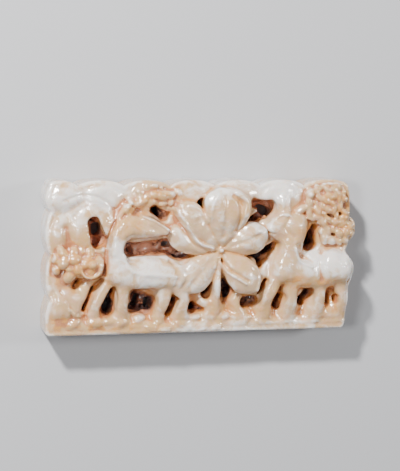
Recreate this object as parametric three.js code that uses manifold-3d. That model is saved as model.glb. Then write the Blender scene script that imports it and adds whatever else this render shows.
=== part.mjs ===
// Openwork jade plaque carved from one piece: two deer beside a six-petalled flower, in millimetres.
// It lies on its flat back. Plan places are measured from the lower left corner of the back,
// x along the plaque, y towards its upper edge, and heights z from the back up to the carved face.
import * as THREE from "three";
import { mergeVertices } from "three/addons/utils/BufferGeometryUtils.js";
import Module from "manifold-3d";

const wasm = await Module();
wasm.setup();

const plaqueLength = 88.9;
const plaqueWidth = 42.7;
const plaqueThickness = 17;
const backLayer = 5; // the floor of the pierced gaps
const fieldHeight = 11.6; // the front of the field that the figures rise from
const rimRound = 1.1; // rounding along the front edge of the field
const shoulderRound = 3.2; // how far the figures fall away at the edge of the rough block
const aboveAll = plaqueThickness + 3;

// The scalloped edge, from its lower left corner round to the right
const cornerCut = 0.8;
const lowerRightX = 85.2;
const topNotches = { count: 6, first: 8.6, pitch: 12.93, depth: 1.5 };
const leftNotches = { count: 3, first: 10.3, pitch: 12, depth: 1.35 };
// Each stretch of the right edge ends at a point and swells outwards by its last number.
const rightEdge = [
  [86.3, 1.4, 0.3],
  [87.0, 12.0, -0.25],
  [85.9, 22.1, 1.7],
  [87.0, 25.2, 0.1],
  [87.2, 32.3, 1.95],
  [86.7, 39.9, 0.25],
  [84.2, plaqueWidth - 0.4, 0.7],
];
const upperLeftCorner = [
  [1.7, plaqueWidth - 0.4, 0.9],
  [1.0, plaqueWidth - 1.8, 0.3],
];
const cornerSwell = 0.7; // the lowest scallop of the left edge, down to the corner

// Gaps pierced down to the back layer: runs of drilled holes [x, y, radius], sawn through one to the next
const gaps = {
  leafEye: [[13.0, 31.2, 1.7], [14.3, 26.2, 2.1]],
  aboveHead: [[30.0, 34.5, 1.5], [32.7, 32.9, 1.6]],
  behindNeck: [[23.4, 23.7, 2.15], [34.3, 24.0, 2.5], [37.8, 22.1, 2.2], [41.8, 21.6, 0.5]],
  betweenUpperPetals: [[43.3, 36.5, 1.3], [44.4, 33.3, 0.4]],
  besideTopPetal: [[58.8, 36.0, 1.5], [62.7, 34.9, 2.3], [61.5, 33.2, 1.9], [56.0, 30.7, 0.5]],
  belowRightPetal: [[56.4, 21.4, 0.5], [61.6, 21.6, 1.8], [64.7, 24.3, 1.0]],
  belowRightPetalFoot: [[60.8, 21.0, 2.0], [60.6, 18.4, 0.9]],
  besideLowerPetal: [[62.3, 14.3, 0.8], [60.4, 10.7, 0.5]],
  behindRightNeck: [[76.5, 29.3, 0.8], [75.2, 24.7, 2.3]],
  belowCluster: [[9.1, 15.0, 0.9], [8.1, 13.7, 1.0]],
  besideStalk: [[15.4, 15.4, 0.6], [13.0, 12.8, 0.75], [10.7, 7.2, 0.8]],
  foreLegs: [[18.4, 12.3, 0.9], [17.4, 7.3, 2.4]],
  belowBelly: [[25.2, 10.2, 1.9], [29.1, 9.1, 2.0], [28.3, 7.0, 1.9], [24.6, 7.5, 1.8]],
  hindLegs: [[36.3, 9.3, 0.9], [34.4, 5.6, 1.1]],
  rightOfHindLeg: [[41.5, 6.8, 1.8], [44.2, 6.3, 1.0]],
  leftOfStem: [[46.2, 14.8, 0.8], [45.2, 10.9, 1.9]],
  rightOfStem: [[50.3, 14.0, 1.2], [51.5, 11.5, 2.0], [50.6, 8.7, 1.1]],
  leftOfFarLeg: [[56.8, 8.1, 1.7], [59.0, 8.6, 1.5]],
  farLegs: [[66.7, 9.5, 1.3], [65.9, 7.0, 1.5]],
  belowFarBelly: [[75.2, 10.3, 1.4], [73.3, 8.2, 1.5]],
  farHindLegs: [[80.7, 9.7, 0.8], [80.7, 7.9, 0.6]],
  farHindSlit: [[83.1, 9.2, 0.4], [83.2, 7.8, 0.4]],
};

// Windows that go on through the back layer
const windows = {
  leafEye: [[14.7, 29.6, 1.2], [14.8, 28.2, 1.25]],
  aboveHead: [[31.0, 34.2, 0.9], [31.3, 33.0, 0.8]],
  behindNeck: [[34.4, 24.3, 0.9], [35.3, 24.2, 0.9]],
  betweenUpperPetals: [[43.0, 36.5, 0.6], [43.5, 35.6, 0.5]],
  besideTopPetal: [[61.8, 34.2, 1.1], [64.0, 33.2, 1.3]],
  besideTopPetalFoot: [[58.2, 31.7, 0.8], [60.0, 31.9, 0.6]],
  behindRightNeck: [[76.6, 27.4, 0.5], [75.9, 24.9, 1.1]],
  foreLegs: [[17.7, 8.3, 1.1], [17.9, 6.6, 1.0]],
  belowBelly: [[25.6, 8.0, 1.0], [26.4, 9.6, 0.9]],
  belowBellyRight: [[29.4, 7.2, 0.9], [29.5, 8.4, 0.9]],
};

// The flower: petals by the direction of their tip in degrees, their length, half width and crown
const flower = {
  x: 48.7,
  y: 23.3,
  bossRadius: 1.3,
  bossTop: 14.8,
  rootHeight: 13.2,
  foot: 10.4, // the petals' undersides, where they overhang the gaps
  stem: { run: [[48.5, 21.6, 1.0], [48.1, 17.0, 1.3], [47.9, 12.0, 1.3], [48.0, 6.0, 1.7]], top: 13.8 },
};
const petalForm = { veinDepth: 0.5, veinWidth: 0.28, edgeDrop: 1.7, tipDroop: 1.2, slender: 0.9, blunt: 2.4 };
const petals = {
  left: { turn: 160, reach: 15.8, half: 4.3, crown: 14.5, fullest: 0.64 },
  lowerLeft: { turn: 226, reach: 16.2, half: 4.5, crown: 14.5, fullest: 0.64 },
  upperLeft: { turn: 133, reach: 17.8, half: 3.9, crown: 16.0, fullest: 0.72 },
  lowerRight: { turn: -48, reach: 15.6, half: 4.7, crown: 16.2, fullest: 0.62 },
  right: { turn: 21, reach: 14.2, half: 4.4, crown: 16.0, fullest: 0.62 },
  top: { turn: 85.5, reach: 17.8, half: 6.3, crown: plaqueThickness + 0.3, fullest: 0.66 },
};

// Deer: runs of [x, y, half width] with the height of their ridge
const leftDeer = {
  body: { run: [[19.6, 17.4, 3.6], [24.5, 16.8, 4.3], [31.0, 16.8, 4.3], [36.2, 16.0, 4.0]], top: 14.7 },
  neck: { run: [[20.6, 17.5, 3.3], [19.7, 22.5, 2.6], [20.0, 26.5, 2.4], [22.0, 30.0, 2.7]], top: 15.0 },
  head: { run: [[23.2, 30.2, 3.7], [28.2, 29.7, 2.9], [32.6, 28.4, 1.5]], top: 15.3 },
  ear: { run: [[18.3, 28.2, 1.0], [20.2, 32.6, 1.3], [23.0, 36.4, 1.2]], top: 14.4 },
  earTip: { run: [[21.8, 33.2, 0.9], [24.6, 36.0, 1.1], [27.0, 37.2, 1.0]], top: 14.2 },
  foreLeg: { run: [[17.6, 15.2, 2.2], [15.0, 10.5, 1.8], [13.2, 5.2, 1.8]], top: 12.7 },
  nearForeLeg: { run: [[21.2, 14.4, 2.4], [21.3, 9.5, 1.9], [21.1, 4.4, 2.0]], top: 13.3 },
  hindLeg: { run: [[33.4, 14.0, 2.3], [32.9, 9.5, 1.9], [31.8, 4.2, 1.9]], top: 13.0 },
  nearHindLeg: { run: [[37.0, 14.0, 2.6], [38.4, 9.5, 2.2], [37.8, 3.8, 2.2]], top: 13.3 },
};
const rightDeer = {
  body: { run: [[68.0, 17.4, 4.6], [73.5, 16.3, 4.7], [79.0, 16.5, 5.0], [83.4, 16.9, 4.6]], top: 14.8 },
  rump: { run: [[81.6, 18.4, 4.6], [83.6, 18.0, 4.4]], top: 15.7 },
  neck: { run: [[68.4, 18.5, 4.3], [69.2, 23.5, 3.8], [70.2, 28.0, 3.7]], top: 14.9 },
  head: { run: [[70.6, 30.0, 4.0], [67.0, 29.8, 3.9], [63.8, 29.2, 2.3]], top: 14.5 },
  cheek: { run: [[67.0, 27.6, 3.4], [70.6, 26.4, 3.6]], top: 13.9 },
  ear: { run: [[67.4, 33.2, 2.2], [67.3, 37.4, 1.7]], top: 13.6 },
  foreLeg: { run: [[64.6, 13.5, 2.3], [62.7, 9.5, 2.0], [62.0, 3.4, 1.9]], top: 13.4 },
  nearForeLeg: { run: [[69.6, 13.5, 2.4], [69.8, 9.0, 2.0], [69.2, 3.8, 2.0]], top: 13.7 },
  hindLeg: { run: [[77.6, 13.5, 2.4], [78.4, 9.0, 1.9], [77.4, 3.6, 1.9]], top: 13.4 },
  nearHindLeg: { run: [[84.2, 13.0, 2.4], [85.0, 8.5, 1.9], [84.8, 3.4, 2.0]], top: 13.6 },
};

// Smooth lobes along the upper border, one to each scallop, and round leaves [x, y, long, wide, top, chords]
const borderLobe = { below: 5.2, long: 8, wide: 5.6, top: 12.7, firstX: 5.4, chords: 12 };
const roundLeaves = [
  [12.4, 29.8, 10.0, 9.6, 13.2, 14],
  [4.6, 28.5, 5.0, 6.4, 12.6, 12],
  [5.4, 7.4, 6.4, 7.0, 12.6, 12],
];

// Growths: rows of knobs packed side by side, and the ball and curl at the end of the left one
const cluster = { x: 2.4, y: 17.6, columns: 4, rows: 3, pitch: 2.9, rowPitch: 2.3, radius: 1.9, top: 14.3 };
const foliage = {
  x: 26.4, y: 37.8, columns: 4, rows: 2, pitch: 2.9, rowPitch: 2.2, radius: 1.8, top: 13.9, slope: 0.1,
};
const clusterBall = { x: 12.4, y: 19.9, radius: 1.7, top: 15.2 };
const clusterCurl = {
  run: [[9.8, 17.6, 0.8], [11.7, 16.6, 0.9], [13.8, 17.3, 0.9], [14.9, 19.4, 0.8]],
  top: 14.2,
};
const knobShape = { stretch: 1.15, unevenness: 0.35 };

// The leafy tree top over the right deer: slanting rows of narrow leaves, lobes [x, y, long, wide, top, turn]
// around them and a branch
const treeLeaves = {
  rows: 4, x: 76.6, y: 39.6, stepX: 1.25, stepY: -2.9, leaves: 4, alongX: 2.9, alongY: -0.1,
  long: 2.1, wide: 1.45, top: 14.5, unevenness: 0.4,
};
const treeLobes = [
  [74.6, 38.6, 2.3, 1.6, 14.4, 20],
  [80.6, 26.6, 3.6, 2.2, 13.9, 15],
  [86.2, 28.8, 3.2, 3.8, 13.6, 0],
];
const treeBranch = { run: [[71.0, 33.6, 1.5], [73.4, 34.9, 1.6], [76.2, 34.4, 1.4]], top: 13.4 };

// Rocks, hooves and tufts along the ground at the lower border
const groundBump = { count: 17, first: 3.2, pitch: 5.05, y: 2.8, long: 3.1, wide: 2.5, top: 12.9 };

// A plan point [x, y] and a height as a vector in the part's own frame, with its origin under the middle
function place(x, y, z) {
  return new THREE.Vector3(x - plaqueLength / 2, y - plaqueWidth / 2, z);
}

// A closed geometry as a solid that can be joined and cut
function solid(geometry) {
  const bare = new THREE.BufferGeometry();
  bare.setAttribute("position", geometry.getAttribute("position"));
  if (geometry.index) bare.setIndex(geometry.index);
  const merged = mergeVertices(bare, 1e-4);
  return new wasm.Manifold(
    new wasm.Mesh({
      numProp: 3,
      vertProperties: new Float32Array(merged.getAttribute("position").array),
      triVerts: new Uint32Array(merged.index.array),
    }),
  );
}

// Rings of equal length, each a list of vectors, joined into one closed skin with flat ends
function loft(rings, endFaces) {
  const sides = rings[0].length;
  const points = rings.flat();
  const faces = [];
  for (let k = 0; k + 1 < rings.length; k += 1) {
    for (let i = 0; i < sides; i += 1) {
      const a = k * sides + i;
      const b = k * sides + ((i + 1) % sides);
      faces.push(a, b, b + sides, a, b + sides, a + sides);
    }
  }
  const last = (rings.length - 1) * sides;
  const ends = endFaces ?? rings[0].slice(2).map((_, i) => [0, i + 1, i + 2]);
  for (const [a, b, c] of ends) {
    faces.push(a, c, b);
    faces.push(last + a, last + b, last + c);
  }
  const geometry = new THREE.BufferGeometry().setFromPoints(points);
  geometry.setIndex(faces);
  return geometry;
}

// A stretch of edge from where the outline stands to a point, swelling outwards, on the right of the way
function swellTo(shape, x, y, swell) {
  const handleAt = 0.22; // how far along its stretch each handle stands
  const crestShare = 0.75; // how much of its handles' height such a curve reaches
  const from = shape.currentPoint.clone();
  const to = new THREE.Vector2(x, y);
  const along = to.clone().sub(from);
  const out = new THREE.Vector2(along.y, -along.x).normalize().multiplyScalar(swell / crestShare);
  const first = from.clone().addScaledVector(along, handleAt).add(out);
  const second = from.clone().addScaledVector(along, 1 - handleAt).add(out);
  shape.bezierCurveTo(first.x, first.y, second.x, second.y, to.x, to.y);
}

// The plaque's outline as a ring of points, no further out than the block it was sawn from
function plaqueOutline() {
  const pointsOnScallop = 5;
  const shape = new THREE.Shape();
  shape.moveTo(cornerCut, 0);
  shape.lineTo(lowerRightX, 0);
  for (const [x, y, swell] of rightEdge) swellTo(shape, x, y, swell);
  const notchY = plaqueWidth - topNotches.depth;
  for (let i = topNotches.count - 1; i >= 0; i -= 1) {
    const crest = plaqueWidth - (shape.currentPoint.y + notchY) / 2;
    swellTo(shape, topNotches.first + i * topNotches.pitch, notchY, crest);
  }
  for (const [x, y, swell] of upperLeftCorner) swellTo(shape, x, y, swell);
  for (let i = leftNotches.count - 1; i >= 0; i -= 1) {
    const crest = (shape.currentPoint.x + leftNotches.depth) / 2;
    swellTo(shape, leftNotches.depth, leftNotches.first + i * leftNotches.pitch, crest);
  }
  swellTo(shape, 0, cornerCut, cornerSwell);
  const low = new THREE.Vector2(0, 0);
  const high = new THREE.Vector2(plaqueLength, plaqueWidth);
  return shape.getPoints(pointsOnScallop).map((point) => point.clamp(low, high));
}

// The outline's points drawn in by a distance, each along the mean of its two edges' normals
function drawnIn(points, inset) {
  return points.map((point, i) => {
    const before = points[(i + points.length - 1) % points.length];
    const after = points[(i + 1) % points.length];
    const first = new THREE.Vector2(before.y - point.y, point.x - before.x).normalize();
    const second = new THREE.Vector2(point.y - after.y, after.x - point.x).normalize();
    return point.clone().addScaledVector(first.add(second).normalize(), inset);
  });
}

// A block with the scalloped outline: an upright edge, rounded off around the front
function block(height, round) {
  const eased = 0.3 * round; // the rounding is two chords, the first this far in and down
  const outline = plaqueOutline();
  const levels = [
    [0, 0],
    [height - round, 0],
    [height - eased, eased],
    [height, round],
  ];
  const rings = levels.map(([z, inset]) => drawnIn(outline, inset).map(({ x, y }) => place(x, y, z)));
  return solid(loft(rings, THREE.ShapeUtils.triangulateShape(outline, [])));
}

// The plan outline of one sawn cut, from a drilled hole to the next, as a ring of points
function cutRing(from, to) {
  const [x1, y1, r1] = from;
  const [x2, y2, r2] = to;
  const apart = Math.hypot(x2 - x1, y2 - y1);
  const heading = Math.atan2(y2 - y1, x2 - x1);
  const lean = Math.acos(THREE.MathUtils.clamp((r1 - r2) / apart, -1, 1));
  const steps = 5; // chords around each end
  const ring = [];
  for (let i = 0; i <= steps; i += 1) {
    const angle = heading + lean + (i / steps) * (2 * Math.PI - 2 * lean);
    ring.push([x1 + r1 * Math.cos(angle), y1 + r1 * Math.sin(angle)]);
  }
  for (let i = 0; i <= steps; i += 1) {
    const angle = heading - lean + (i / steps) * 2 * lean;
    ring.push([x2 + r2 * Math.cos(angle), y2 + r2 * Math.sin(angle)]);
  }
  return ring;
}

// All the cuts of one gap or window, between two heights
function cuts(run, low, high) {
  const made = [];
  for (let k = 0; k + 1 < run.length; k += 1) {
    const ring = cutRing(run[k], run[k + 1]);
    made.push(solid(loft([low, high].map((z) => ring.map(([x, y]) => place(x, y, z))))));
  }
  return made;
}

// A limb laid on the plaque: an oval tube with round ends along a run of [x, y, half width]
function limb(run, top) {
  const sides = 8;
  const endReach = 0.8; // the round ends, as shares of the half width
  const endScale = 0.55;
  const foot = backLayer + 1;
  const path = new THREE.CatmullRomCurve3(run.map(([x, y]) => new THREE.Vector3(x, y, 0)));
  const halves = new THREE.CatmullRomCurve3(run.map(([, , half], i) => new THREE.Vector3(i, half, 0)));
  const stations = 2 * (run.length - 1) + 1;
  const rings = [];
  const ringAt = (centre, heading, half, scale) => {
    const rise = (top - foot) / 2;
    const ring = [];
    for (let i = 0; i < sides; i += 1) {
      const angle = (i / sides) * 2 * Math.PI;
      const across = half * scale * Math.cos(angle);
      const up = foot + rise + rise * scale * Math.sin(angle);
      ring.push(place(centre.x - heading.y * across, centre.y + heading.x * across, up));
    }
    return ring;
  };
  for (let k = 0; k < stations; k += 1) {
    const t = k / (stations - 1);
    const centre = path.getPoint(t);
    const heading = path.getTangent(t);
    const half = halves.getPoint(t).y;
    const endAt = (way) => centre.clone().addScaledVector(heading, way * endReach * half);
    if (k === 0) rings.push(ringAt(endAt(-1), heading, half, endScale));
    rings.push(ringAt(centre, heading, half, 1));
    if (k === stations - 1) rings.push(ringAt(endAt(1), heading, half, endScale));
  }
  return solid(loft(rings));
}

// A rounded boss, knob or lobe: an oval dome turned in plan, with its foot inside the field
function dome(x, y, long, wide, top, turn = 0, chords = 8) {
  const foot = backLayer + 1;
  const ball = new THREE.SphereGeometry(1, chords, chords / 2);
  ball.rotateX(Math.PI / 2);
  ball.scale(long, wide, (top - foot) / 2);
  ball.rotateZ(THREE.MathUtils.degToRad(turn));
  const middle = place(x, y, (top + foot) / 2);
  ball.translate(middle.x, middle.y, middle.z);
  return solid(ball);
}

// A flower petal: crowned across, sunk along its vein, and rising from the boss to a full round tip
function petal({ turn, reach, half, crown, fullest }) {
  const stations = 9;
  const across = 6;
  const { veinDepth, veinWidth, edgeDrop, tipDroop, slender, blunt } = petalForm;
  const heading = THREE.MathUtils.degToRad(turn);
  const rings = [];
  for (let k = 0; k < stations; k += 1) {
    const t = 0.04 + 0.94 * Math.sin((Math.PI / 2) * (k / (stations - 1)));
    const past = Math.max(0, (t - fullest) / (1 - fullest));
    const opening = Math.sin((Math.PI / 2) * Math.min(1, t / fullest)) ** slender;
    const halfHere = half * opening * Math.sqrt(1 - past ** blunt);
    const ridge = flower.rootHeight + (crown - flower.rootHeight) * Math.sin(Math.PI * Math.min(0.5, 0.7 * t));
    const droop = tipDroop * past ** 2;
    const edge = ridge - edgeDrop * opening;
    const ring = [];
    for (let i = 0; i <= across; i += 1) {
      const s = 1 - (2 * i) / across;
      const vein = veinDepth * Math.exp(-((s / veinWidth) ** 2)) * Math.min(1, t * 2);
      const z = THREE.MathUtils.lerp(ridge, edge, s * s) - vein - droop;
      const along = reach * t;
      const side = halfHere * s;
      const x = flower.x + along * Math.cos(heading) - side * Math.sin(heading);
      const y = flower.y + along * Math.sin(heading) + side * Math.cos(heading);
      ring.push({ x, y, z });
    }
    const top = ring.map(({ x, y, z }) => place(x, y, z));
    const under = [ring[across], ring[0]].map(({ x, y }) => place(x, y, flower.foot));
    rings.push([...top, ...under]);
  }
  return solid(loft(rings));
}

function flowerSolids() {
  const { x, y, bossRadius, bossTop, stem } = flower;
  const boss = dome(x, y, bossRadius, bossRadius, bossTop, 0, 10);
  return [...Object.values(petals).map(petal), boss, limb(stem.run, stem.top)];
}

function deerSolids() {
  return [leftDeer, rightDeer].flatMap((deer) => Object.values(deer).map(({ run, top }) => limb(run, top)));
}

function borderLobes() {
  const { below, long, wide, top, firstX, chords } = borderLobe;
  const made = [];
  for (let i = 0; i < topNotches.count; i += 1) {
    const middle = topNotches.first + (i - 0.5) * topNotches.pitch;
    made.push(dome(Math.max(middle, firstX), plaqueWidth - below, long, wide, top, 0, chords));
  }
  for (const [x, y, leafLong, leafWide, leafTop, round] of roundLeaves) {
    made.push(dome(x, y, leafLong, leafWide, leafTop, 0, round));
  }
  return made;
}

// Rows of knobs, alternate rows shifted by half a pitch and each knob turned and raised a little differently
function knobField({ x, y, columns, rows, pitch, rowPitch, radius, top, slope = 0 }) {
  const made = [];
  for (let row = 0; row < rows; row += 1) {
    for (let column = 0; column < columns - (row % 2); column += 1) {
      const kx = x + (column + (row % 2) * 0.5) * pitch;
      const ky = y + row * rowPitch + column * slope;
      const lift = knobShape.unevenness * Math.sin(2.1 * column + 1.3 * row);
      made.push(dome(kx, ky, radius * knobShape.stretch, radius, top + lift, 25 * row - 20 * column));
    }
  }
  return made;
}

function growths() {
  const { x, y, radius, top } = clusterBall;
  const ball = dome(x, y, radius, radius, top, 0, 10);
  return [...knobField(cluster), ball, limb(clusterCurl.run, clusterCurl.top), ...knobField(foliage)];
}

function treeTop() {
  const made = [];
  for (let row = 0; row < treeLeaves.rows; row += 1) {
    for (let leaf = 0; leaf < treeLeaves.leaves - Math.floor(row / 2); leaf += 1) {
      const x = treeLeaves.x + row * treeLeaves.stepX + leaf * treeLeaves.alongX;
      const y = treeLeaves.y + row * treeLeaves.stepY + leaf * treeLeaves.alongY;
      const top = treeLeaves.top + treeLeaves.unevenness * Math.sin(2.3 * leaf + row);
      made.push(dome(x, y, treeLeaves.long, treeLeaves.wide, top, 90 - 22 * row + 14 * leaf));
    }
  }
  for (const lobe of treeLobes) made.push(dome(...lobe));
  made.push(limb(treeBranch.run, treeBranch.top));
  return made;
}

function groundBumps() {
  const { count, first, pitch, y, long, wide, top } = groundBump;
  const made = [];
  for (let i = 0; i < count; i += 1) {
    const sway = Math.sin(1.9 * i);
    made.push(dome(first + i * pitch, y + 0.4 * sway, long, wide, top + 0.3 * sway, 12 * sway));
  }
  return made;
}

function jadeCarving() {
  let carved = block(fieldHeight, rimRound);
  const figures = [borderLobes, growths, treeTop, groundBumps, deerSolids];
  for (const figure of figures) {
    for (const piece of figure()) carved = carved.add(piece);
  }
  carved = carved.intersect(block(plaqueThickness, shoulderRound));
  for (const run of Object.values(gaps)) {
    for (const cut of cuts(run, backLayer, aboveAll)) carved = carved.subtract(cut);
  }
  for (const run of Object.values(windows)) {
    for (const cut of cuts(run, -1, aboveAll)) carved = carved.subtract(cut);
  }
  for (const piece of flowerSolids()) carved = carved.add(piece);
  const { vertProperties, triVerts } = carved.getMesh();
  const geometry = new THREE.BufferGeometry();
  geometry.setAttribute("position", new THREE.BufferAttribute(vertProperties, 3));
  geometry.setIndex(new THREE.BufferAttribute(triVerts, 1));
  geometry.computeVertexNormals();
  return geometry;
}

const jade = new THREE.MeshStandardMaterial({ color: 0xd9cdb8, roughness: 0.25, metalness: 0 });
const carving = new THREE.Mesh(jadeCarving(), jade);
carving.name = "jade_carving";

const group = new THREE.Group();
group.add(carving);

export default group;
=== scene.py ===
import math
import bpy
import numpy as np
import openvdb
from mathutils import Matrix, Vector


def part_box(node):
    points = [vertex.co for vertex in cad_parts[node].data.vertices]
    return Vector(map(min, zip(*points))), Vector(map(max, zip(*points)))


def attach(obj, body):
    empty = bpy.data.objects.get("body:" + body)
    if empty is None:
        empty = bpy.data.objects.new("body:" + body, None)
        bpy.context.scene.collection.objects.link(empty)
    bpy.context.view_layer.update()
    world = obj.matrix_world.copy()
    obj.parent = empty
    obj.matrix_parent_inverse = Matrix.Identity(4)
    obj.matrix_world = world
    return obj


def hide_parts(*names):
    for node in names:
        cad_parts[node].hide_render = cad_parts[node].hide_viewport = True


# An openwork jade plaque lying on its flat back: two deer beside a six-petalled flower, carved from one piece.
# The carving is worked as a field of distances in millimetres, measured in plan from the lower left corner
# of the back, x along the plaque, y towards its upper edge and z up from the back to the carved face.

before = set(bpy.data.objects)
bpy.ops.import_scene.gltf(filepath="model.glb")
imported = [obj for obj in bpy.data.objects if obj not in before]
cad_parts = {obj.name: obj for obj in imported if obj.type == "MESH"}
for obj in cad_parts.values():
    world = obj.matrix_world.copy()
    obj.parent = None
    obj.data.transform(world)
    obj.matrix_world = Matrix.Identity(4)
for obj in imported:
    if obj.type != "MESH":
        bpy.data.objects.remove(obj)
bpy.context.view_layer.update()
cadLow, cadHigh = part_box("jade_carving")
mm = 0.001

plaque = {
    "length": (cadHigh.x - cadLow.x) / mm,
    "width": (cadHigh.y - cadLow.y) / mm,
    "thickness": (cadHigh.z - cadLow.z) / mm,
    "backLayer": 5.0,  # the floor of the pierced gaps
    "foot": 6.0,  # where the figures grow out of the block
    "field": 11.6,  # the front of the field that the figures rise from
    "rim": 0.9,  # how softly the front edge is rounded
    "backEdge": 0.5,  # the same for the edge of the back
    "shoulder": 5.0,  # how far the figures fall away towards the rim
    "wallInset": 0.06,  # room for the unevenness of the walls
    "step": 0.3,  # spacing of the distance field
    "margin": 1.5,  # empty space round the block in the field
    "outside": 9.0,  # distance given to places beyond the field
    "mostTriangles": 190000,
}


# Camera at the photograph's angle, looking down on the plaque from its left and a little above its upper edge

view = {
    "distance": 0.4, "aim": Vector((-0.00055, 0.00555, 0.008)),  # metres
    "yaw": 14.5, "pitch": 6.6, "roll": -0.93,  # degrees
    "focalPixels": 1429, "pictureHeight": 471, "sensor": 36.0,
}


def makeCamera():
    yaw, pitch, roll = (math.radians(view[k]) for k in ("yaw", "pitch", "roll"))
    back = Vector((-math.sin(yaw) * math.cos(pitch), math.sin(pitch), math.cos(yaw) * math.cos(pitch)))
    up = (Vector((0, 1, 0)) - back * back.y).normalized()
    right = up.cross(back)
    rightRolled = math.cos(roll) * right - math.sin(roll) * up
    upRolled = math.sin(roll) * right + math.cos(roll) * up
    data = bpy.data.cameras.new("camera")
    data.sensor_width = view["sensor"]
    data.lens = view["focalPixels"] * view["sensor"] / view["pictureHeight"]
    camera = bpy.data.objects.new("camera", data)
    turned = Matrix((rightRolled, upRolled, back)).transposed().to_4x4()
    camera.matrix_world = Matrix.Translation(view["aim"] + view["distance"] * back) @ turned
    bpy.context.scene.collection.objects.link(camera)
    bpy.context.scene.camera = camera


makeCamera()
print("camera placed")


# Node trees written as expressions

class Number:  # a value carried by a socket
    def __init__(self, tree, socket):
        self.tree, self.socket = tree, socket

    def work(self, operation, *others):
        node = self.tree.node("ShaderNodeMath", {"operation": operation}, dict(enumerate(others)))
        return Number(self.tree, node.outputs[0])

    def __add__(self, other):
        return self.work("ADD", self, other)

    def __sub__(self, other):
        return self.work("SUBTRACT", self, other)

    def __mul__(self, other):
        return self.work("MULTIPLY", self, other)

    def __truediv__(self, other):
        return self.work("DIVIDE", self, other)

    def __rsub__(self, other):
        return self.work("SUBTRACT", other, self)

    def __rtruediv__(self, other):
        return self.work("DIVIDE", other, self)

    __radd__ = __add__
    __rmul__ = __mul__

    def between(self, low, high):  # 0 below low, 1 above high, eased between
        node = self.tree.node(
            "ShaderNodeMapRange", {"interpolation_type": "SMOOTHSTEP"},
            {"Value": self, "From Min": low, "From Max": high},
        )
        return Number(self.tree, node.outputs["Result"])


class Tree:  # the nodes of a material or of a geometry group
    def __init__(self, tree):
        self.tree = tree
        tree.nodes.clear()

    def node(self, kind, settings=None, inputs=None):
        made = self.tree.nodes.new(kind)
        for name, value in (settings or {}).items():
            setattr(made, name, value)
        for name, value in (inputs or {}).items():
            socket = made.inputs[name]
            if isinstance(value, Number):
                value = value.socket
            if isinstance(value, bpy.types.NodeSocket):
                self.tree.links.new(value, socket)
            else:
                socket.default_value = value
        return made

    def attribute(self, name):
        return Number(self, self.node("ShaderNodeAttribute", {"attribute_name": name}).outputs["Fac"])

    def noise(self, coords, scale, detail=3.0, roughness=0.55, distortion=0.0):
        inputs = {
            "Vector": coords, "Scale": scale, "Detail": detail,
            "Roughness": roughness, "Distortion": distortion,
        }
        return Number(self, self.node("ShaderNodeTexNoise", None, inputs).outputs["Fac"])

    def mix(self, factor, first, second):
        made = self.node("ShaderNodeMix", {"data_type": "RGBA"}, {0: factor, 6: first, 7: second})
        return made.outputs[2]


def newMaterial(name):
    material = bpy.data.materials.new(name)
    material.use_nodes = True
    return material, Tree(material.node_tree)


# Distance field of the stone

def softMin(a, b, blend):  # the smaller of two distances, rounded where they meet
    near = np.maximum(blend - np.abs(a - b), 0) / max(blend, 1e-6)
    return np.minimum(a, b) - near * near * blend / 4


def softMax(a, b, blend):
    return -softMin(-a, -b, blend)


def ease(low, high, value):
    t = np.clip((value - low) / (high - low), 0, 1)
    return t * t * (3 - 2 * t)


class Stone:  # distances to the surface, negative inside, on a grid over the whole plaque
    def __init__(self, size, step, margin):
        self.step = step
        self.low = -margin
        counts = [int((side + 2 * margin) / step) + 2 for side in size]
        self.x, self.y, self.z = (self.low + step * np.arange(n, dtype=np.float32) for n in counts)
        self.dist = np.zeros(counts, np.float32)

    def near(self, low, high):  # the part of the grid around a plan rectangle
        spans = []
        for axis, a, b in ((self.x, low[0], high[0]), (self.y, low[1], high[1])):
            first = max(0, int((a - self.low) / self.step) - 1)
            spans.append(slice(first, min(len(axis), int((b - self.low) / self.step) + 3)))
        return tuple(spans), self.x[spans[0]][:, None], self.y[spans[1]][None, :]

    def join(self, spans, dist, blend):
        self.dist[spans] = softMin(self.dist[spans], dist.astype(np.float32), blend)

    def cut(self, spans, dist, blend):
        self.dist[spans] = softMax(self.dist[spans], -dist.astype(np.float32), blend)


def smoothRun(run, samples=6):  # a curve through the points of a run, with whatever numbers they carry
    points = np.array(run, float)
    padded = np.vstack([2 * points[0] - points[1], points, 2 * points[-1] - points[-2]])
    curve = []
    for k in range(len(points) - 1):
        a, b, c, d = padded[k:k + 4]
        for t in np.arange(samples) / samples:
            bend = (2 * a - 5 * b + 4 * c - d) * t ** 2 + (3 * b - a - 3 * c + d) * t ** 3
            curve.append(0.5 * (2 * b + (c - a) * t + bend))
    curve.append(points[-1])
    return np.array(curve)


def alongRun(x, y, run, scaled=False):  # nearest distance to a run in plan, and the numbers carried there
    nearest = np.full(np.broadcast(x, y).shape, np.inf)
    best = np.full(nearest.shape, np.inf)
    carried = np.zeros(nearest.shape + (run.shape[1] - 2,))
    for start, end in zip(run, run[1:]):
        way = end[:2] - start[:2]
        t = np.clip(((x - start[0]) * way[0] + (y - start[1]) * way[1]) / max(way @ way, 1e-9), 0, 1)
        apart = np.hypot(x - start[0] - t * way[0], y - start[1] - t * way[1])
        here = start[2:] + t[..., None] * (end[2:] - start[2:])
        rank = apart / np.maximum(here[..., 0], 1e-3) if scaled else apart
        better = rank < best
        best = np.where(better, rank, best)
        nearest = np.where(better, apart, nearest)
        carried = np.where(better[..., None], here, carried)
    return nearest, carried


def runBox(run, extra):
    points = np.array([p[:2] for p in run], float)
    return points.min(0) - extra, points.max(0) + extra


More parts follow.
